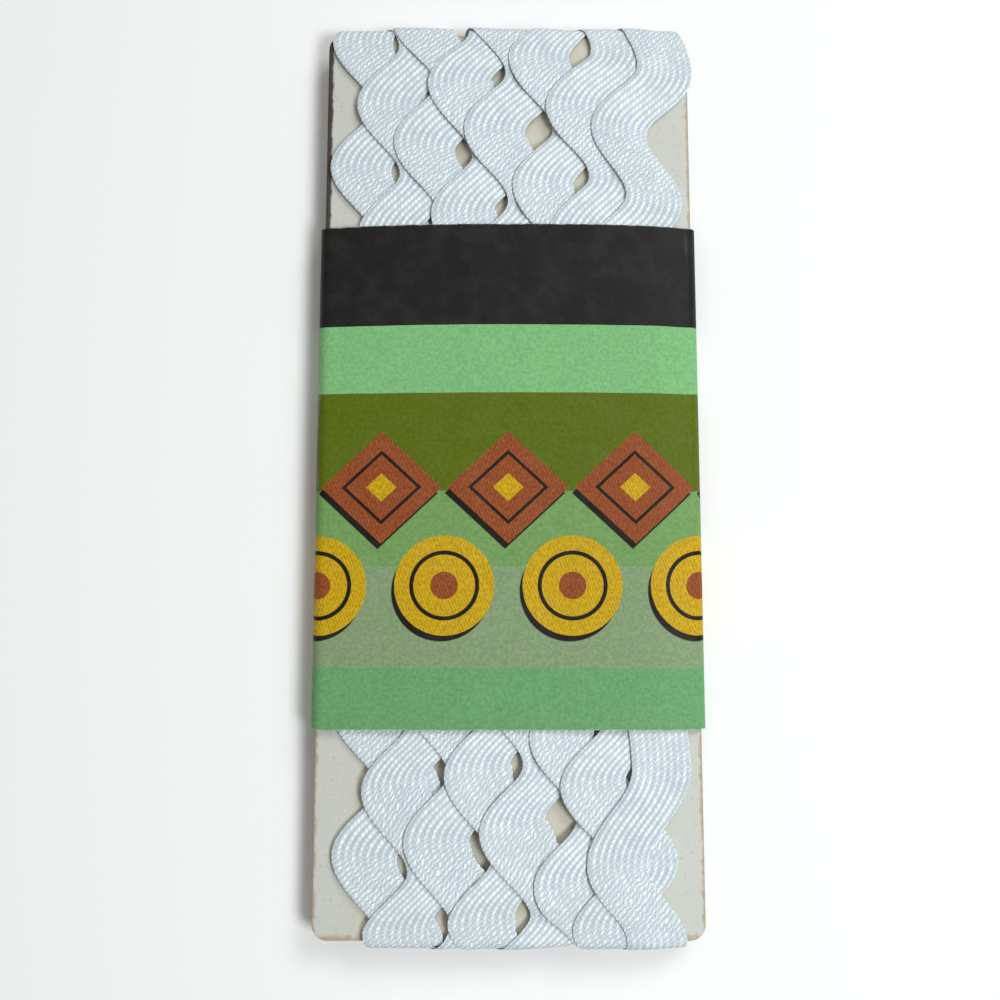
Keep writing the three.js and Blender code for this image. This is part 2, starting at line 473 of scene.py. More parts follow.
@dataclass(frozen=True)
class BraidFinish:
    """White polyester braid, matt and cool, with painted shade between its stitches.

    Its pitches and selvage are in millimetres, and its relief is in metres.
    """

    yarn: Colour = linear(249, 253, 255)
    # Painted shade: the grey that the braid's colour takes between its stitches.
    painted_gap_shade: Colour = linear(172, 186, 198)
    old: Colour = linear(210, 216, 218)
    row_pitch: float = 1.075
    stitch_pitch: float = 0.71
    selvage: float = 0.5
    relief: float = 0.00008
    old_scale: float = 0.11
    old_span: Span = (0.35, 0.7)
    old_share: float = 0.16
    roughness: float = 0.8
    yarn_rougher: float = -0.2
    specular: float = 0.35
    sheen: float = 0.12

    def material(self, plait: Tree) -> bpy.types.Material:
        """Makes the material.

        Args:
            plait: The group of plaited stitches.

        Returns:
            The braid's material.
        """
        material, bench, shader = new_material("white braid")
        place = bench.place(Coords.UV)
        slope = bench.node("ShaderNodeAttribute", attribute_name="slope").outputs["Fac"]
        stitches = bench.group(
            plait, Vector=place, Slope=slope, Selvage=self.selvage,
            Row_Pitch=self.row_pitch, Stitch_Pitch=self.stitch_pitch,
        )
        yarn = stitches.outputs["Yarn"]
        old = bench.ramp(bench.noise(place, self.old_scale), *self.old_span)
        # Painted shade: between the stitches the colour turns to the painted gap shade.
        colour = bench.mix(yarn, self.painted_gap_shade, self.yarn)
        bench.give(
            shader,
            Base_Color=bench.mix(bench.times(old, self.old_share), colour, self.old),
            Normal=bench.bump(stitches.outputs["Height"], self.relief),
            Roughness=bench.line(yarn, self.yarn_rougher, self.roughness),
            Specular_IOR_Level=self.specular,
            Sheen_Weight=self.sheen,
            Sheen_Roughness=0.5,
        )
        return material


@dataclass(frozen=True)
class ChipboardFinish:
    """Beige-grey uncoated board, flecked, pale brown where its cut edges are rubbed.

    Its colour also holds painted shade: a warmer tint under the winding, and a dark painted
    shadow along its left rim. Its sizes are in metres, and a span holds the two limits of a
    soft step.
    """

    face: Colour = linear(201, 203, 196)
    cloud: Colour = linear(191, 188, 175)
    # Painted shade: a warmer tint for the card under the winding, where it shows in the shaded
    # holes between turns.
    covered: Colour = linear(206, 197, 176)
    fleck: Colour = linear(168, 160, 142)
    core: Colour = linear(166, 142, 108)
    ply: Colour = linear(120, 98, 70)
    # Painted shadow: the dark colour of the strip along the card's left rim.
    painted_rim_shadow: Colour = linear(46, 34, 26)
    fineness: float = 2600.0
    cloud_scale: float = 60.0
    cloud_span: Span = (0.3, 0.75)
    cloud_share: float = 0.25
    fleck_share: float = 0.45
    painted_warm_shade_span: Span = (0.025, 0.019)
    painted_warm_shade_share: float = 0.7
    foot_share: float = 0.55
    ragged_scale: float = 900.0
    ragged: float = 0.0012
    worn_span: Span = (0.0001, 0.0006)
    worn_share: float = 0.75
    worn_rougher: float = 0.08
    painted_rim_shadow_span: Span = (0.0006, 0.0010)
    painted_rim_shadow_rise: Span = (0.022, 0.034)
    painted_rim_shadow_share: float = 0.94
    ply_thick: float = 0.00033
    ply_share: float = 0.15
    tooth: float = 0.00005
    roughness: float = 0.85

    def material(self, fibre: Tree, low: Vector, high: Vector) -> bpy.types.Material:
        """Makes the material.

        Args:
            fibre: The paper fibre group.
            low: The card's lowest corner.
            high: The card's highest corner.

        Returns:
            The card's material.
        """
        material, bench, shader = new_material("grey chipboard")
        place = bench.place(Coords.OBJECT)
        x, y, z = bench.split(place)
        fibres = bench.group(fibre, Vector=place, Fineness=self.fineness)
        cloud = bench.ramp(bench.noise(place, self.cloud_scale, 3.0), *self.cloud_span)
        colour = bench.mix(bench.times(cloud, self.cloud_share), self.face, self.cloud)
        fleck = bench.times(fibres.outputs["Fleck"], self.fleck_share)
        colour = bench.mix(fleck, colour, self.fleck)
        from_middle = bench.unsigned(bench.minus(x, (high.x + low.x) / 2))
        # Painted shade: the card turns warmer under the winding, giving the holes between the turns
        # a warm shade.
        covered = bench.times(bench.ramp(from_middle, *self.painted_warm_shade_span), self.painted_warm_shade_share)
        colour = bench.mix(covered, colour, self.covered)
        ragged = bench.noise(place, self.ragged_scale, 4.0)
        ragged = bench.line(ragged, self.ragged, -self.ragged / 2)
        side = bench.minus((high.x - low.x) / 2, from_middle)
        foot = bench.times(bench.minus(y, low.y), self.foot_share)
        edge = bench.least(side, bench.least(foot, bench.minus(high.y, y)))
        worn = bench.fall(bench.plus(edge, ragged), *self.worn_span)
        colour = bench.mix(bench.times(worn, self.worn_share), colour, self.core)
        # Painted shadow: a dark strip along the card's left rim, growing from partway up the card
        # towards its top.
        rim = bench.plus(bench.minus(x, low.x), bench.times(ragged, 0.5))
        rim_shadow = bench.fall(rim, *self.painted_rim_shadow_span)
        rim_shadow = bench.times(rim_shadow, bench.ramp(y, *self.painted_rim_shadow_rise))
        colour = bench.mix(bench.times(rim_shadow, self.painted_rim_shadow_share), colour, self.painted_rim_shadow)
        plies = bench.math("SINE", bench.times(z, math.tau / self.ply_thick))
        plies = bench.math("MULTIPLY", bench.times(worn, plies), self.ply_share, clamp=True)
        bench.give(
            shader,
            Base_Color=bench.mix(plies, colour, self.ply),
            Normal=bench.bump(fibres.outputs["Tooth"], self.tooth),
            Roughness=bench.line(worn, self.worn_rougher, self.roughness),
        )
        return material


@dataclass(frozen=True)
class Stripe:
    """A printed stripe: its lower edge in millimetres up the card, and its ink."""

    low: float
    ink: Colour


class Outline(Enum):
    """The outline of a printed motif."""

    LOZENGE = "lozenge"
    ROUND = "round"


BROWNS = (linear(132, 62, 30), linear(168, 92, 44))
YELLOWS = (linear(214, 176, 18), linear(176, 134, 14))


@dataclass(frozen=True)
class Motif:
    """A row of printed motifs.

    Middle_y is the row's height on the card, half a motif's half width and half height,
    all in millimetres, and shift the row's start as a share of the repeat. The rest is
    told in half sizes from a motif's middle: the limits between which its shadow, body and
    heart fade, the ring that its thin line follows, and how near to it the line fades.
    """

    outline: Outline
    middle_y: float
    half: Span
    shift: float
    shadow: Span
    body: Span
    ring: float
    line: Span
    heart: Span
    inks: tuple[Colour, Colour]
    heart_inks: tuple[Colour, Colour]


@dataclass(frozen=True)
class PrintFinish:
    """Printed paper: plain stripes, a row of brown lozenges and a row of yellow rounds.

    A span holds the two limits of a soft step, but ragged, a noise's rise and start. Sizes
    on the print are in millimetres. The tooth, and the fold that runs up each side of the
    band, are in metres.
    """

    stripes: tuple[Stripe, ...] = (
        Stripe(-39.6, linear(108, 164, 108)),
        Stripe(-30.7, linear(134, 158, 118)),
        Stripe(-15.6, linear(118, 158, 92)),
        Stripe(-4.2, linear(90, 107, 10)),
        Stripe(10.8, linear(128, 188, 124)),
        Stripe(21.3, linear(30, 28, 28)),
    )
    motifs: tuple[Motif, ...] = (
        Motif(
            Outline.ROUND, middle_y=-18.4, half=(7.5, 7.5), shift=0.5,
            shadow=(0.9733, 1.0), body=(0.9867, 1.0), ring=0.6533, line=(0.048, 0.0347),
            heart=(0.2667, 0.28), inks=YELLOWS, heart_inks=BROWNS,
        ),
        Motif(
            Outline.LOZENGE, middle_y=-3.6, half=(9.2, 8.6), shift=0.0,
            shadow=(0.97, 1.0), body=(0.985, 1.0), ring=0.62, line=(0.045, 0.03),
            heart=(0.24, 0.26), inks=BROWNS, heart_inks=YELLOWS,
        ),
    )
    dark: Colour = linear(26, 22, 16)
    bare: Colour = linear(224, 222, 210)
    shade: Colour = (0.55, 0.55, 0.55, 1.0)
    foot: float = -39.6
    top: float = 37.3
    repeat: float = 19.1
    repeats_before: int = 100
    shadow_right: float = -0.5
    shadow_down: float = 0.9
    hatch_rise: float = 2.6
    hatch_run: float = 6.5
    hatch_rough: float = 3.6
    hatch_span: Span = (0.3, 0.65)
    fineness: float = 4200.0
    grain_scale: float = 2200.0
    grain_span: Span = (0.35, 0.65)
    grain_share: float = 0.4
    mottle_scale: float = 330.0
    mottle_span: Span = (0.4, 0.7)
    mottle_share: float = 0.01
    fleck_share: float = 0.25
    ragged_scale: float = 700.0
    ragged: Span = (0.4, -0.18)
    rim: Span = (0.0, 0.12)
    rim_share: float = 0.45
    fold: Span = (0.0272, 0.0292)
    scuff_scale: float = 500.0
    scuff_span: Span = (0.6, 0.76)
    scuff_share: float = 0.4
    tooth: float = 0.00002
    roughness: float = 0.5
    wear_rougher: float = 0.3
    specular: float = 0.15

    def material(self, fibre: Tree) -> bpy.types.Material:
        """Makes the material. UV holds the place on the paper in millimetres.

        Args:
            fibre: The paper fibre group.

        Returns:
            The printed paper's material.
        """
        material, bench, shader = new_material("printed paper")
        place, solid = bench.place(Coords.UV), bench.place(Coords.OBJECT)
        across, up, _ = bench.split(place)
        colour = self.ground(bench, up)
        hatch = self.hatch(bench, place, across, up)
        for motif in self.motifs:
            colour = self.row(bench, colour, across, up, hatch, motif)
        fibres = bench.group(fibre, Vector=solid, Fineness=self.fineness)
        grain = bench.ramp(bench.noise(solid, self.grain_scale, 3.0), *self.grain_span)
        grain = bench.times(grain, self.grain_share)
        colour = bench.mix(grain, colour, self.shade, "MULTIPLY")
        mottle = bench.ramp(bench.noise(solid, self.mottle_scale, 5.0), *self.mottle_span)
        colour = bench.mix(bench.times(mottle, self.mottle_share), colour, self.bare)
        fleck = bench.times(fibres.outputs["Fleck"], self.fleck_share)
        colour = bench.mix(fleck, colour, self.shade, "MULTIPLY")
        wear = self.wear(bench, solid, up)
        bench.give(
            shader,
            Base_Color=bench.mix(wear, colour, self.bare),
            Normal=bench.bump(fibres.outputs["Tooth"], self.tooth),
            Roughness=bench.line(wear, self.wear_rougher, self.roughness),
            Specular_IOR_Level=self.specular,
        )
        return material

    def wear(self, bench: NodeBench, solid: Socket, up: Socket) -> Socket:
        """Returns how far the print is rubbed off: at its cut edges, folds and in scuffs.

        Args:
            bench: The material's bench.
            solid: The place on the object.
            up: Height on the card in millimetres.

        Returns:
            The wear, from 0 to 1.
        """
        edge = bench.least(bench.minus(self.top, up), bench.minus(up, self.foot))
        ragged = bench.line(bench.noise(solid, self.ragged_scale, 3.0), *self.ragged)
        rim = bench.times(bench.fall(bench.plus(edge, ragged), *self.rim), self.rim_share)
        x, _, _ = bench.split(solid)
        scuff = bench.noise(bench.stretch(solid, (1, 0.15, 1)), self.scuff_scale, 5.0)
        scuff = bench.ramp(scuff, *self.scuff_span)
        scuff = bench.times(scuff, bench.ramp(bench.unsigned(x), *self.fold))
        return bench.most(rim, bench.times(scuff, self.scuff_share))

    def ground(self, bench: NodeBench, up: Socket) -> Socket:
        """Prints the stripes.

        Args:
            bench: The material's bench.
            up: Height on the card in millimetres.

        Returns:
            The stripes' colour.
        """
        high = self.top - self.foot
        ramp = bench.node("ShaderNodeValToRGB")
        ramp.color_ramp.interpolation = "CONSTANT"
        stops = ramp.color_ramp.elements
        while len(stops) < len(self.stripes):
            stops.new(0.5)
        for stop, stripe in zip(stops, self.stripes):
            stop.position = (stripe.low - self.foot) / high
            stop.color = stripe.ink
        bench.feed(ramp.inputs[0], bench.over(bench.minus(up, self.foot), high))
        return ramp.outputs[0]

    def hatch(self, bench: NodeBench, place: Socket, across: Socket, up: Socket) -> Socket:
        """Draws fine slanting lines, as if the motifs were filled with satin stitch.

        Args:
            bench: The material's bench.
            place: The place on the print.
            across: Place along the band in millimetres.
            up: Height on the card in millimetres.

        Returns:
            The lines, from 0 to 1.
        """
        line = bench.line(up, self.hatch_rise, bench.times(across, self.hatch_run))
        rough = bench.noise(bench.stretch(place, (1, 0.5, 1)), self.hatch_rough, 4.0)
        rough = bench.ramp(rough, *self.hatch_span)
        return bench.times(bench.unsigned(bench.math("SINE", line)), rough)

    def row(
        self, bench: NodeBench, colour: Socket, across: Socket, up: Socket, hatch: Socket,
        motif: Motif,
    ) -> Socket:
        """Prints a row of motifs, each with a thin line, a heart and a shadow.

        Args:
            bench: The material's bench.
            colour: What is printed under it.
            across: Place along the row in millimetres.
            up: Height on the card in millimetres.
            hatch: The lines that fill a motif.
            motif: The motif.

        Returns:
            The colour with the row on it.
        """
        def reach(right: float, down: float) -> Socket:
            """Works out how far out from the middle of the nearest motif a place is.

            Args:
                right: How far the row is moved to the right in millimetres.
                down: How far it is moved down.

            Returns:
                The distance in half sizes.
            """
            turned = bench.over(bench.minus(across, right), self.repeat)
            turned = bench.plus(turned, self.repeats_before + 0.5 + motif.shift)
            x = bench.times(bench.minus(bench.math("FRACT", turned), 0.5), self.repeat)
            y = bench.minus(up, motif.middle_y - down)
            x, y = (bench.over(value, half) for value, half in zip((x, y), motif.half))
            if motif.outline is Outline.LOZENGE:
                return bench.plus(bench.unsigned(x), bench.unsigned(y))
            return bench.math("SQRT", bench.plus(bench.times(x, x), bench.times(y, y)))

        shadow = bench.fall(reach(self.shadow_right, self.shadow_down), *motif.shadow)
        colour = bench.mix(shadow, colour, self.dark)
        out = reach(0.0, 0.0)
        body = bench.fall(out, *motif.body)
        colour = bench.mix(body, colour, bench.mix(hatch, *motif.inks))
        line = bench.ramp(bench.unsigned(bench.minus(out, motif.ring)), *motif.line)
        colour = bench.mix(line, colour, self.dark)
        heart = bench.fall(out, *motif.heart)
        return bench.mix(heart, colour, bench.mix(hatch, *motif.heart_inks))


@dataclass(frozen=True)
class FloorFinish:
    """Plain pale board under the roll."""

    colour: Colour = (0.92, 0.92, 0.92, 1.0)
    cloud: Colour = (0.85, 0.85, 0.85, 1.0)
    cloud_scale: float = 4.0
    cloud_share: float = 0.03
    roughness: float = 0.8

    def material(self) -> bpy.types.Material:
        """Makes the floor's material.

        Returns:
            The material.
        """
        material, bench, shader = new_material("pale floor")
        cloud = bench.noise(bench.place(Coords.OBJECT), self.cloud_scale)
        colour = bench.mix(bench.times(cloud, self.cloud_share), self.colour, self.cloud)
        bench.give(shader, Base_Color=colour, Roughness=self.roughness)
        return material


@dataclass(frozen=True)
class FrontPass:
    """One pass of the braid down the card's front, in millimetres.

    The left edge's highest and lowest left crest, the waves between them, how far the
    right edge runs ahead of the left edge at those crests, and the width.
    """

    top_x: float
    top_y: float
    foot_x: float
    foot_y: float
    waves: int
    top_lean: float
    foot_lean: float
    wide: float = 9.6


@dataclass(frozen=True)
class Stray:
    """A left crest that strays from its pass's even run, in millimetres.

    Waves are counted down from the pass's highest left crest, and y runs on past the
    card's end as the braid does.
    """

    turn: int
    waves: float
    x: float
    y: float


@dataclass
class Winding:
    """The braid's path round the card and the way its turns lie on each other.

    All its sizes are in millimetres, about the card's centre. Along is the distance on
    the winding, and across runs from -1 at the braid's left edge to 1 at its right edge.
    """

    card_long: float = 139.7
    card_thick: float = 1.0
    card_gap: float = 0.3
    thick: float = 0.9
    turn_gap: float = 0.06
    swing: float = 3.3
    wave: float = 21.2
    rise: float = 0.54
    fan: float = 0.13
    end_turn: float = 4.0
    tail: float = 63.0
    waves_behind: int = 8
    last_drift: float = -6.0
    softness: float = 2.6
    swell_open: float = 0.95
    swell_band: float = 0.7
    swell_ends: float = 0.6
    swell_run: float = 6.0
    end_flatness: float = 0.65
    band_top: float = 37.3
    band_foot: float = -39.6
    step: float = 0.5
    cell: float = 0.25
    map_half_wide: float = 38.0
    lay_places: int = 13
    press_places: int = 49
    lay_block: int = 40
    lay_reach: int = 3
    lay_margin: int = 16
    passes: tuple[FrontPass, ...] = (
        FrontPass(-27.9, 47.1, -25.8, -58.1, 5, 0.8, 0.6),
        FrontPass(-23.8, 57.3, -21.1, -68.8, 6, 0.6, -2.2),
        FrontPass(-17.9, 50.4, -15.3, -55.9, 5, 1.5, 0.0),
        FrontPass(-12.6, 60.6, -8.8, -67.1, 6, 0.0, -1.6),
        FrontPass(-6.9, 53.0, -4.3, -53.7, 5, 0.4, -2.0),
        FrontPass(0.1, 65.2, 3.6, -61.8, 6, -0.3, -1.0),
        FrontPass(5.9, 57.1, 9.2, -68.3, 6, 0.0, -1.0),
        FrontPass(13.1, 53.5, 11.3, -59.0, 5, 1.2, 0.0, 8.8),
    )
    strays: tuple[Stray, ...] = (
        Stray(4, 6, -2.8, -74.9),
        Stray(6, -1, 7.4, 78.1),
        Stray(6, 5, 7.5, -47.6),
        Stray(7, -2, 12.0, 101.0),
        Stray(7, -1, 14.4, 80.6),
        Stray(7, -0.46, 13.9, 63.1),
        Stray(7, 1, 10.7, 31.5),
        Stray(7, 4.4, 11.4, -36.0),
        Stray(7, 4.54, 11.4, -45.5),
    )
    half_turn: float = field(init=False)
    round: float = field(init=False)
    start: float = field(init=False)
    finish: float = field(init=False)
    lay_across: Array = field(init=False)
    knots: Array = field(init=False)
    along: Array = field(init=False)
    heights: Array = field(init=False)
    relief: Array = field(init=False)

    def __post_init__(self) -> None:
        """Works out the path's knots and lays all the turns."""
        self.half_turn = self.card_long + self.end_turn
        self.round = 2 * self.half_turn
        self.start = self.card_long - self.tail
        self.finish = len(self.passes) * self.round + self.tail
        self.lay_across = np.linspace(-1, 1, self.lay_places)
        self.knots = self.path_knots()
        self.lay()

    def path_knots(self) -> Array:
        """Lists the path's knots, at the crests that are known and at both ends.

        Returns:
            Rows of distance along, wave count, middle, width and lean.
        """
        rows = []
        wave = 0.0
        for turn, run in enumerate(self.passes):
            front_middle = turn * self.round + self.half_turn + self.card_long / 2
            crests = [(0, run.top_x, run.top_y), (run.waves, run.foot_x, run.foot_y)]
            crests += [(one.waves, one.x, one.y) for one in self.strays if one.turn == turn]
            for waves, x, y in sorted(crests):
                middle = x + run.wide / 2 + self.swing
                lean = run.top_lean if waves < run.waves / 2 else run.foot_lean
                rows.append((front_middle - y, wave + waves, middle, run.wide, lean))
            wave += run.waves + self.waves_behind
        first, last = rows[0], rows[-1]
        head = (self.start, first[1] - (first[0] - self.start) / self.wave, *first[2:])
        tail_waves = (self.finish - last[0]) / self.wave
        foot = (self.finish, last[1] + tail_waves, last[2] + self.last_drift, *last[3:])
        return np.array([head, *rows, foot])

    def centre(self, along: Array) -> Array:
        """Works out the sideways place of the braid's middle.

        Args:
            along: Distances along the winding.

        Returns:
            The sideways places.
        """
        place, waves, middles = self.knots.T[:3]
        phase = np.interp(along, place, waves) % 1
        evened = np.where(
            phase < self.rise, phase / self.rise / 2, 1 - (1 - phase) / (1 - self.rise) / 2
        )
        return np.interp(along, place, middles) - self.swing * np.cos(2 * np.pi * evened)

    def slope(self, along: Array) -> Array:
        """Returns how fast the braid's middle moves sideways."""
        near = 0.1
        return (self.centre(along + near) - self.centre(along - near)) / (2 * near)

    def flat(self, along: Array, across: Array) -> tuple[Array, Array]:
        """Lays points of the braid out flat.

        Args:
            along: Distances along the winding.
            across: Places across the braid.

        Returns:
            Each point's sideways place and its own distance along the winding.
        """
        half = across * np.interp(along, self.knots[:, 0], self.knots[:, 3]) / 2
        lean = np.interp(along, self.knots[:, 0], self.knots[:, 4])
        slant = across * lean / 2 - self.fan * self.slope(along) * half
        run = along % self.half_turn
        from_end = np.minimum(run, self.card_long - run) / self.swell_run
        return self.centre(along) + half, along + slant * smooth_step(from_end)

    def cells(self, x: Array, along: Array) -> tuple[Array, Array]:
        """Finds the relief map's cells under flat points.

        Args:
            x: Sideways places.
            along: Distances along the winding.

        Returns:
            Each cell's row and column.
        """
        rows, columns = self.relief.shape
        row = np.floor((along % self.round) / self.round * rows).astype(int)
        column = np.rint((x + self.map_half_wide) / self.cell).astype(int)
        return row % rows, np.clip(column, 1, columns - 2)

    def under(self, x: Array, along: Array) -> Array:
        """Finds the highest of what lies under and just beside flat points.

        Args:
            x: Sideways places.
            along: Distances along the winding.

        Returns:
            The heights.
        """
        row, column = self.cells(x, along)
        rows = self.relief.shape[0]
        near = [
            self.relief[(row + down) % rows, column + right]
            for down, right in ((0, 0), (1, 0), (-1, 0), (0, 1), (0, -1))
        ]
        return np.max(near, axis=0)

    def lay(self) -> None:
        """Lays the turns one after another, each on those before it."""
        rows = round(self.round / self.cell)
        columns = round(2 * self.map_half_wide / self.cell)
        self.relief = np.zeros((rows, columns))
        self.along = np.arange(self.start, self.finish, self.step)
        x, place = self.flat(self.along[:, None], self.lay_across[None, :])
        found = np.zeros_like(x)
        self.heights = np.zeros_like(x)
        reach, known, count = self.lay_reach, 0, len(self.along)
        for first in range(0, count, self.lay_block):
            last = min(first + self.lay_block, count)
            ahead = min(last + self.lay_margin, count)
            found[known:ahead] = self.under(x[known:ahead], place[known:ahead])
            known = ahead
            low = max(first - self.lay_margin, 0)
            eased = spread(found[low:ahead], reach, 0, np.max)
            eased = spread(spread(eased, 1, 1, np.max), 1, 1, np.mean)
            eased = spread(eased, reach, 0, np.mean)
            self.heights[first:last] = eased[first - low:last - low]
            self.press(first, last)

    def press(self, first: int, last: int) -> None:
        """Raises the relief map to the top of a stretch of the braid.

        Args:
            first: The stretch's first laid station.
            last: The one after its last.
        """
        along = self.along[first:last]
        half_step = self.step / 2
        finer = np.arange(along[0] - half_step, along[-1] + half_step, half_step)
        across = np.linspace(-1, 1, self.press_places)
        tops = self.height_at(finer, across, first, last) + self.thick + self.turn_gap
        x, place = self.flat(finer[:, None], across[None, :])
        np.maximum.at(self.relief, self.cells(x, place), tops)

    def height_at(
        self, along: Array, across: Array, first: int = 0, last: int | None = None
    ) -> Array:
        """Returns the loose height of the braid's inner face.

        Args:
            along: Distances along the winding.
            across: Places across the braid.
            first: The first laid station to read.
            last: The one after the last.

        Returns:
            Heights, one row for each distance along.
        """
        known = self.along[first:last]
        laid = self.heights[first:last]
        columns = [np.interp(along, known, laid[:, i]) for i in range(laid.shape[1])]
        grid = np.stack(columns, axis=1)
        index = (across + 1) / 2 * (self.lay_places - 1)
        left = np.clip(np.floor(index).astype(int), 0, self.lay_places - 2)
        share = smooth_step(index - left)
        return grid[:, left] * (1 - share) + grid[:, left + 1] * share

    def pressed(self, height: Array | float) -> Array:
        """Returns a loose height once the turns over it press it."""
        return self.softness * np.log1p(np.asarray(height) / self.softness)

    def swell(self, y: Array) -> Array:
        """Works out the share of its height that the winding keeps.

        Args:
            y: Places up the card.

        Returns:
            The shares.
        """
        middle = (self.band_top + self.band_foot) / 2
        half = (self.band_top - self.band_foot) / 2
        held = 1 - smooth_step((np.abs(y - middle) - half) / self.swell_run)
        from_end = self.card_long / 2 - np.abs(y)
        ends = smooth_step((self.swell_run - from_end) / self.swell_run)
        share = self.swell_open - (self.swell_open - self.swell_band) * held
        return share - (self.swell_open - self.swell_ends) * ends

    def wrap(self, x: Array, along: Array, height: Array) -> Array:
        """Wraps flat points round the card.

        Args:
            x: Sideways places.
            along: Distances along the winding.
            height: Loose heights over the first turn's inner face.

        Returns:
            Points about the card's centre.
        """
        place = along % self.round
        on_back = place < self.half_turn
        run = np.where(on_back, place, place - self.half_turn)
        side = np.where(on_back, 1.0, -1.0)
        y = np.minimum(run, self.card_long) - self.card_long / 2
        radius = self.first_radius + self.pressed(height) * self.swell(side * y)
        angle = np.pi * np.maximum(0, run - self.card_long) / self.end_turn
        bulge = self.end_flatness * radius * np.sin(angle)
        return np.stack([x, side * (y + bulge), -side * radius * np.cos(angle)], axis=-1)

    @property
    def first_radius(self) -> float:
        """Height of the first turn's inner face over the card's middle."""
        return self.card_thick / 2 + self.card_gap

    def front_stack(self, x: Array) -> Array:
        """Works out how high the winding stands under the band's front.

        Args:
            x: Sideways places.

        Returns:
            Heights over the card's middle.
        """
        y = np.arange(self.band_foot, self.band_top, self.step)
        along = self.half_turn + self.card_long / 2 - y
        found = self.under(*np.meshgrid(x, along, indexing="ij"))
        return self.first_radius + self.pressed(found.max(axis=1)) * self.swell_band


def smooth_step(share: Array) -> Array:
    """Turns a share into a soft step between 0 and 1."""
    share = np.clip(share, 0, 1)
    return share * share * (3 - 2 * share)


def spread(values: Array, reach: int, axis: int, join: Callable[..., Array]) -> Array:
    """Joins each value with its neighbours.

    Args:
        values: The values.
        reach: How many neighbours on each side.
        axis: The axis that they lie on.
        join: What joins them, such as a maximum or a mean.

    Returns:
        The joined values.
    """
    count = values.shape[axis]
    near = [
        np.take(values, np.clip(np.arange(count) + shift, 0, count - 1), axis)
        for shift in range(-reach, reach + 1)
    ]
    return join(near, axis=0)


def mesh_object(name: str, points: Array, faces: list[Face], uvs: Array) -> Piece:
    """Makes an object from points in metres.

    Args:
        name: The object's name.
        points: Its points.
        faces: Its faces, as point numbers.
        uvs: A flat place for each point, in millimetres.

    Returns:
        The new object, at the origin.
    """
    mesh = bpy.data.meshes.new(name)
    mesh.from_pydata(points.tolist(), [], faces)
    layer = mesh.uv_layers.new(name="UVMap")
    corners = np.zeros(len(mesh.loops), dtype=np.int32)
    mesh.loops.foreach_get("vertex_index", corners)
    layer.data.foreach_set("uv", uvs[corners].astype(np.float32).ravel())
    mesh.polygons.foreach_set("use_smooth", np.ones(len(mesh.polygons), dtype=bool))
    mesh.update()
    made = bpy.data.objects.new(name, mesh)
    bpy.context.scene.collection.objects.link(made)
    return made


def grid_quads(rows: int, columns: int, ahead: Array) -> list[Face]:
    """Lists the faces of a sheet of points laid out in rows.

    Args:
        rows: How many rows of points there are.
        columns: How many points a row has.
        ahead: For each point that starts a face, the next point's place in its row.

    Returns:
        The faces.
    """
    start = np.arange(rows - 1)[:, None] * columns
    here = np.arange(len(ahead))[None, :]
    quads = [start + here, start + columns + here, start + columns + ahead, start + ahead]
    return [tuple(quad) for quad in np.stack(quads, -1).reshape(-1, 4).tolist()]


def finish_piece(piece: Piece, material: bpy.types.Material, node: str) -> None:
    """Dresses a piece, sets it on its body and lets it stand for a node.

    Args:
        piece: The finished piece.
        material: Its material.
        node: The node that it replaces.
    """
    piece.data.materials.clear()
    piece.data.materials.append(material)
    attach(piece, BODY)
    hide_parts(node)
    log.info("%s: %d faces", piece.name, len(piece.data.polygons))


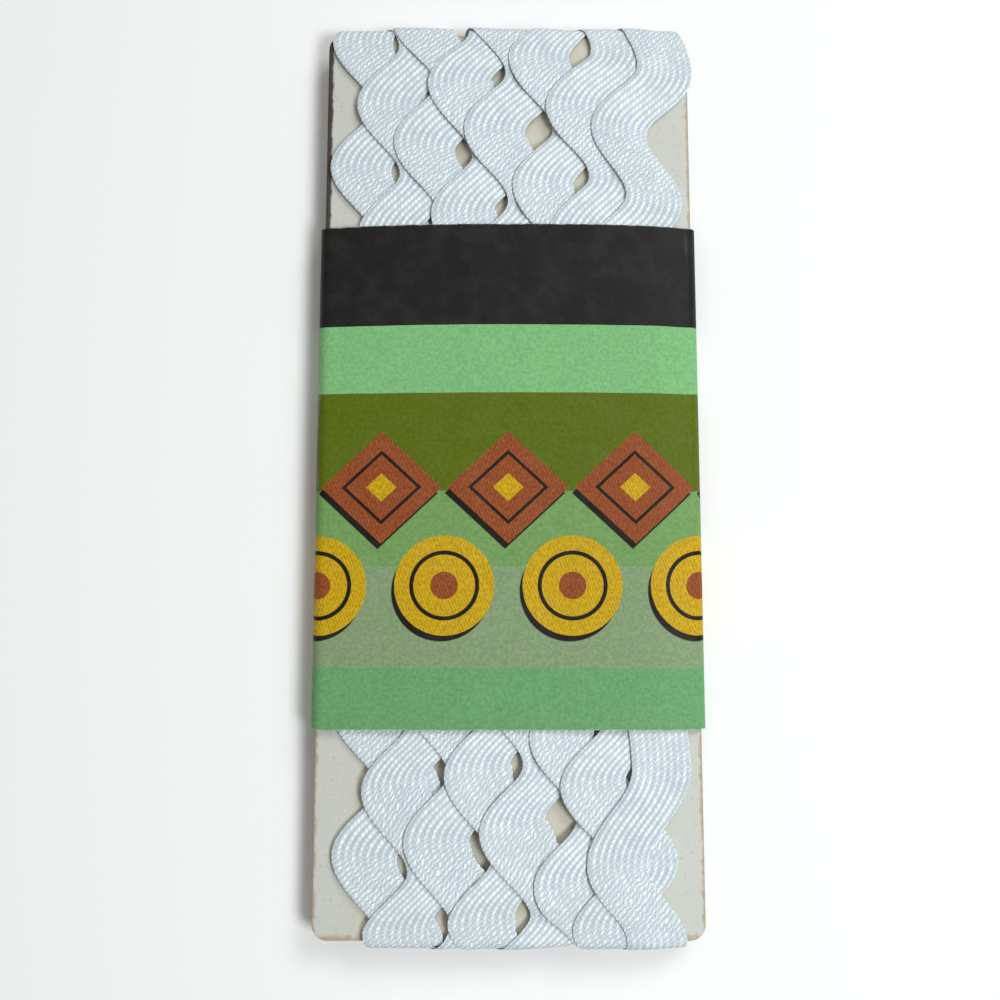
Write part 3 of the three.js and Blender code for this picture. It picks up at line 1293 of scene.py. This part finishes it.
@dataclass
class RicRac:
    """The wound braid: rows of stitches in relief between two rolled selvages.

    Its centre is in metres and its sizes are in millimetres. Under lists the places across
    its inner face.
    """

    winding: Winding
    centre: Vector
    finish: BraidFinish
    nominal_wide: float = 9.6
    edge_round: float = 0.8
    edge_places: tuple[float, ...] = (0.0, 0.06, 0.24)
    rows: int = 8
    furrow: float = 0.07
    covered_margin: float = 4.0
    covered_every: int = 5
    under: tuple[float, ...] = (0.97, 0.8, 0.5, 0.2, -0.1, -0.4, -0.7, -0.88, -0.97)

    def build(self, plait: Tree) -> None:
        """Builds and dresses the braid.

        Args:
            plait: The group of plaited stitches.
        """
        winding, selvage = self.winding, self.finish.selvage
        keep = self.kept_stations()
        along = winding.along[keep]
        top = self.top_places()
        across = np.concatenate([top, np.array(self.under)])
        is_top = np.arange(len(across)) < len(top)
        x, place = winding.flat(along[:, None], across[None, :])
        side = (across + 1) / 2 * self.nominal_wide
        from_edge = np.minimum(side, self.nominal_wide - side)
        share = 1 - np.clip(from_edge / self.edge_round, 0, 1)
        half = np.sqrt(1 - share ** 2) * winding.thick / 2
        wave = 0.5 + 0.5 * np.cos(2 * np.pi * (side - selvage) / self.finish.row_pitch)
        half -= np.where(is_top & (from_edge > selvage / 2), wave * self.furrow, 0)
        level = winding.height_at(along, across) + winding.thick / 2
        ring = winding.wrap(x, place, level + np.where(is_top, half, -half))
        arc = np.cumsum(np.hypot(1, winding.slope(winding.along))) * winding.step
        uvs = np.stack(np.meshgrid(arc[keep], side, indexing="ij")[::-1], axis=-1)
        piece = mesh_object(
            "wound_ric_rac", ring.reshape(-1, 3) * MM + np.array(self.centre),
            self.faces(*ring.shape[:2]), uvs.reshape(-1, 2),
        )
        slopes = np.repeat(winding.slope(along), len(side)).astype(np.float32)
        attribute = piece.data.attributes.new("slope", "FLOAT", "POINT")
        attribute.data.foreach_set("value", slopes)
        finish_piece(piece, self.finish.material(plait), "ric_rac")

    def top_places(self) -> Array:
        """Lists the places across the braid's face: its rows, furrows and selvages.

        Returns:
            The places, from -1 to 1.
        """
        rows = self.finish.selvage + self.finish.row_pitch * np.arange(0, self.rows + 0.5, 0.5)
        edge = np.array(self.edge_places)
        side = np.concatenate([edge, rows, self.nominal_wide - edge[::-1]])
        return side / self.nominal_wide * 2 - 1

    def kept_stations(self) -> Array:
        """Picks the laid stations that the mesh uses: all in the open, few when covered.

        Returns:
            The stations' numbers.
        """
        winding = self.winding
        from_middle = np.abs(winding.along % winding.half_turn - winding.card_long / 2)
        covered = from_middle < winding.band_top - self.covered_margin
        index = np.arange(len(covered))
        return index[~covered | (index % self.covered_every == 0) | (index == index[-1])]

    def faces(self, stations: int, ring: int) -> list[Face]:
        """Lists the braid's faces, closed at both cut ends.

        Args:
            stations: How many sections there are.
            ring: How many points a section has.

        Returns:
            The faces, facing out.
        """
        faces = grid_quads(stations, ring, (np.arange(ring) + 1) % ring)
        last = (stations - 1) * ring
        faces.append(tuple(range(ring)))
        faces.append(tuple(range(last + ring - 1, last - 1, -1)))
        return faces


@dataclass
class CardBlank:
    """The die-cut card, with rounded corners and softly rubbed rims.

    Its low and high corners are in metres, and its other sizes in millimetres.
    """

    low: Vector
    high: Vector
    finish: ChipboardFinish
    corner: float = 2.3
    corner_segments: int = 8
    rim: float = 0.14
    rim_segments: int = 3
    level_within: float = 0.1
    face_within: float = 0.01

    def build(self, fibre: Tree) -> None:
        """Cuts, rounds and dresses the card.

        Args:
            fibre: The paper fibre group.
        """
        bpy.ops.object.select_all(action="DESELECT")
        bpy.ops.mesh.primitive_cube_add(size=1.0, location=(0, 0, 0))
        piece = bpy.context.object
        piece.name = piece.data.name = "chipboard_card"
        bpy.ops.object.mode_set(mode="EDIT")
        bpy.ops.transform.resize(value=tuple(self.high - self.low))
        bpy.ops.transform.translate(value=tuple((self.high + self.low) / 2))
        for upright, offset, segments in (
            (True, self.corner, self.corner_segments), (False, self.rim, self.rim_segments)
        ):
            self.pick_edges(piece, upright)
            bpy.ops.mesh.bevel(offset=offset * MM, segments=segments, affect="EDGES")
        bpy.ops.object.mode_set(mode="OBJECT")
        bpy.ops.object.shade_smooth_by_angle(angle=SMOOTH_ANGLE)
        material = self.finish.material(fibre, self.low, self.high)
        finish_piece(piece, material, "card")

    def pick_edges(self, piece: Piece, upright: bool) -> None:
        """Selects the upright corner edges, or the rims round the card's two faces.

        Args:
            piece: The card, in edit mode.
            upright: Whether the upright edges are meant.
        """
        bpy.ops.mesh.select_mode(type="EDGE")
        bpy.ops.mesh.select_all(action="DESELECT")
        bpy.ops.object.mode_set(mode="OBJECT")
        mesh = piece.data
        for edge in mesh.edges:
            one, two = (mesh.vertices[i].co.z for i in edge.vertices)
            level = abs(one - two) < self.level_within * MM
            to_face = min(abs(one - self.low.z), abs(one - self.high.z))
            edge.select = (level and to_face < self.face_within * MM) != upright
        bpy.ops.object.mode_set(mode="EDIT")


@dataclass(frozen=True)
class Ripple:
    """A slight unevenness of the paper, made by two sine waves that cross.

    Rise is in millimetres. Each wave has its turn, in radians for a millimetre sideways and
    for a millimetre up, and its start.
    """

    rise: float
    first: tuple[float, float, float]
    second: tuple[float, float, float]

    def height(self, x: Array, y: Array) -> Array:
        """Returns the ripple's height at places on the band."""
        waves = (np.sin(x * side + y * up + start) for side, up, start in (self.first, self.second))
        return self.rise * math.prod(waves)


@dataclass
class PaperBand:
    """The printed paper band, pulled round the winding and glued on the back.

    Its centre is in metres and its sizes are in millimetres. The lap is on the back, where
    the inner end is raised by the paper's thickness and comes down past the outer end.
    """

    winding: Winding
    centre: Vector
    finish: PrintFinish
    half_wide: float = 29.1
    thick: float = 0.3
    clearance: float = 0.12
    corner: float = 1.7
    fold_steps: int = 8
    lap_from: float = 2.0
    lap_to: float = 14.0
    lap_short: float = 0.4
    lap_slope: float = 1.2
    lap_steps: int = 8
    inner_steps: int = 10
    outer_steps: int = 30
    front_steps: int = 61
    up_steps: int = 40
    front_depth: float = 2.0
    bow: float = 0.35
    droop: float = 0.17
    taut_reach: int = 4
    ripples: tuple[Ripple, ...] = (
        Ripple(0.07, (0.21, 0.05, 0.6), (0.0, 0.09, 0.4)),
        Ripple(0.045, (0.62, -0.30, 1.1), (0.11, 0.29, 0.0)),
    )

    def build(self, fibre: Tree) -> None:
        """Builds and dresses the band.

        Args:
            fibre: The paper fibre group.
        """
        path = self.section()
        length = np.concatenate([[0], np.cumsum(np.hypot(*np.diff(path, axis=0).T))])
        from_middle = np.where(path[:, 1] > 0, np.abs(path[:, 0]), np.inf)
        across = length[int(np.argmin(from_middle))] - length
        winding = self.winding
        up = np.linspace(winding.band_foot, winding.band_top, self.up_steps + 1)
        x, y = np.meshgrid(path[:, 0], up, indexing="ij")
        z, across = (np.repeat(row[:, None], len(up), 1) for row in (path[:, 1], across))
        uvs = np.stack([across, y], -1).reshape(-1, 2)
        front = smooth_step(z - path[:, 1].max() + self.front_depth)
        z = z + front * sum(ripple.height(x, y) for ripple in self.ripples)
        bow = self.bow * (1 - (x / self.half_wide) ** 2) * smooth_step(y / winding.band_top)
        y = y + front * (bow - self.droop)
        points = np.stack([x, y, z], -1).reshape(-1, 3) * MM + np.array(self.centre)
        faces = grid_quads(*x.shape, np.arange(1, x.shape[1]))
        piece = mesh_object("paper_band", points, [face[::-1] for face in faces], uvs)
        bpy.ops.object.select_all(action="DESELECT")
        bpy.context.view_layer.objects.active = piece
        piece.select_set(True)
        wall = piece.modifiers.new("paper thickness", "SOLIDIFY")
        wall.thickness = self.thick * MM
        wall.offset = 0.0
        bpy.ops.object.modifier_apply(modifier=wall.name)
        bpy.ops.object.shade_smooth_by_angle(angle=SMOOTH_ANGLE)
        finish_piece(piece, self.finish.material(fibre), "band")

    def section(self) -> Array:
        """Draws the middle of the paper's thickness, from its inner end to its outer end.

        Returns:
            Points of sideways place and height over the card's middle.
        """
        floor = -self.centre.z / MM + self.thick / 2
        inner = self.half_wide - self.corner
        xs = np.linspace(-inner, inner, self.front_steps)
        top = self.taut(xs, self.winding.front_stack(xs)) + self.thick / 2 + self.clearance
        lap_end = self.lap_to - self.lap_short
        lap = np.linspace(self.lap_from, lap_end, self.lap_steps)
        points = [(x, floor + self.thick) for x in lap]
        past_lap = np.linspace(self.lap_to + self.lap_slope, inner, self.inner_steps)
        points += [(x, floor) for x in past_lap]
        points += self.bend(inner, floor + self.corner, -90)
        points += self.bend(inner, top[-1] - self.corner, 0)
        points += list(zip(xs[-2:0:-1], top[-2:0:-1]))
        points += self.bend(-inner, top[0] - self.corner, 90)
        points += self.bend(-inner, floor + self.corner, 180)
        outer = np.linspace(-inner, self.lap_to, self.outer_steps)
        points += [(x, floor) for x in outer[1:]]
        return np.array(points)

    def bend(self, x: float, z: float, start: float) -> list[Span]:
        """Draws a rounded fold about a centre, a quarter turn from an angle in degrees."""
        angles = np.radians(np.linspace(start, start + 90, self.fold_steps))
        return [(x + self.corner * math.cos(a), z + self.corner * math.sin(a)) for a in angles]

    def taut(self, xs: Array, heights: Array) -> Array:
        """Pulls the paper straight over the heights under it.

        Args:
            xs: Sideways places, in order.
            heights: What stands under each.

        Returns:
            The paper's height at each place, evened a little.
        """
        hull: list[Span] = []
        for x, z in zip(xs, heights):
            while len(hull) > 1:
                (x1, z1), (x2, z2) = hull[-2:]
                if (z2 - z1) * (x - x1) > (z - z1) * (x2 - x1):
                    break
                hull.pop()
            hull.append((x, z))
        held = np.interp(xs, *np.array(hull).T)
        return np.maximum(held, spread(held, self.taut_reach, 0, np.mean))


@dataclass(frozen=True)
class Window:
    """A square area light that faces the roll, in metres and watts."""

    name: str
    place: tuple[float, float, float]
    size: float
    power: float
    colour: tuple[float, float, float]

    def light(self) -> None:
        """Adds the light."""
        lamp = bpy.data.lights.new(self.name, "AREA")
        lamp.size = self.size
        lamp.energy = self.power
        lamp.color = self.colour
        holder = bpy.data.objects.new(self.name, lamp)
        holder.location = self.place
        holder.rotation_euler = (-Vector(self.place)).to_track_quat("-Z", "Y").to_euler()
        bpy.context.scene.collection.objects.link(holder)


@dataclass
class Studio:
    """Pale floor, soft light and the camera at the photograph's angle.

    Its centre and the card's top are in metres, and its other sizes in millimetres. Tilt,
    the camera's, is in degrees.
    """

    centre: Vector
    card_top: float
    tilt: float = 8.43
    distance: float = 197.4
    aim_y: float = -5.4
    side: float = -1.245
    focal: float = 46.8
    sensor: float = 36.0
    near: float = 10.0
    floor_wide: float = 6000.0
    sky: Colour = (1.0, 0.92, 0.8, 1.0)
    sky_strength: float = 0.2
    windows: tuple[Window, ...] = (
        Window("key window", (0.30, -0.21, 0.57), 0.2, 2.75, (0.93, 0.985, 1.0)),
        Window("far window", (0.30, 0.34, 0.50), 0.3, 1.7, (0.93, 0.985, 1.0)),
        Window("soft fill", (-0.10, 0.20, 0.62), 0.8, 0.8, (0.97, 0.985, 1.0)),
    )

    def build(self) -> None:
        """Sets up the floor, the lights and the camera."""
        self.floor()
        for window in self.windows:
            window.light()
        world = bpy.data.worlds.new("soft room")
        world.use_nodes = True
        sky = world.node_tree.nodes["Background"]
        sky.inputs["Color"].default_value = self.sky
        sky.inputs["Strength"].default_value = self.sky_strength
        bpy.context.scene.world = world
        bpy.context.scene.view_settings.view_transform = "Standard"
        self.camera()

    def floor(self) -> None:
        """Lays the pale floor."""
        bpy.ops.object.select_all(action="DESELECT")
        bpy.ops.mesh.primitive_plane_add(size=self.floor_wide * MM, location=(0, 0, 0))
        floor = bpy.context.object
        floor.name = "floor"
        floor.data.materials.append(FloorFinish().material())

    def camera(self) -> None:
        """Places the camera."""
        tilt = math.radians(self.tilt)
        away = self.distance * MM
        lens = bpy.data.cameras.new("camera")
        lens.lens = self.focal
        lens.sensor_width = self.sensor
        lens.clip_start = self.near * MM
        holder = bpy.data.objects.new("camera", lens)
        holder.location = (
            self.centre.x + self.side * MM,
            self.centre.y + self.aim_y * MM - away * math.sin(tilt),
            self.card_top + away * math.cos(tilt),
        )
        holder.rotation_euler = (tilt, 0, 0)
        bpy.context.scene.collection.objects.link(holder)
        bpy.context.scene.camera = holder


def main() -> None:
    """Builds the roll, its floor, light and camera."""
    low, high = (Vector(corner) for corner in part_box("card"))
    centre = (low + high) / 2
    Studio(centre, high.z).build()
    fibre = fibre_group()
    winding = Winding()
    log.info("highest loose stack: %.2f mm", winding.heights.max() + winding.thick)
    CardBlank(low, high, ChipboardFinish()).build(fibre)
    RicRac(winding, centre, BraidFinish()).build(Plait().group())
    PaperBand(winding, centre, PrintFinish()).build(fibre)


if __name__ == "__main__":
    main()
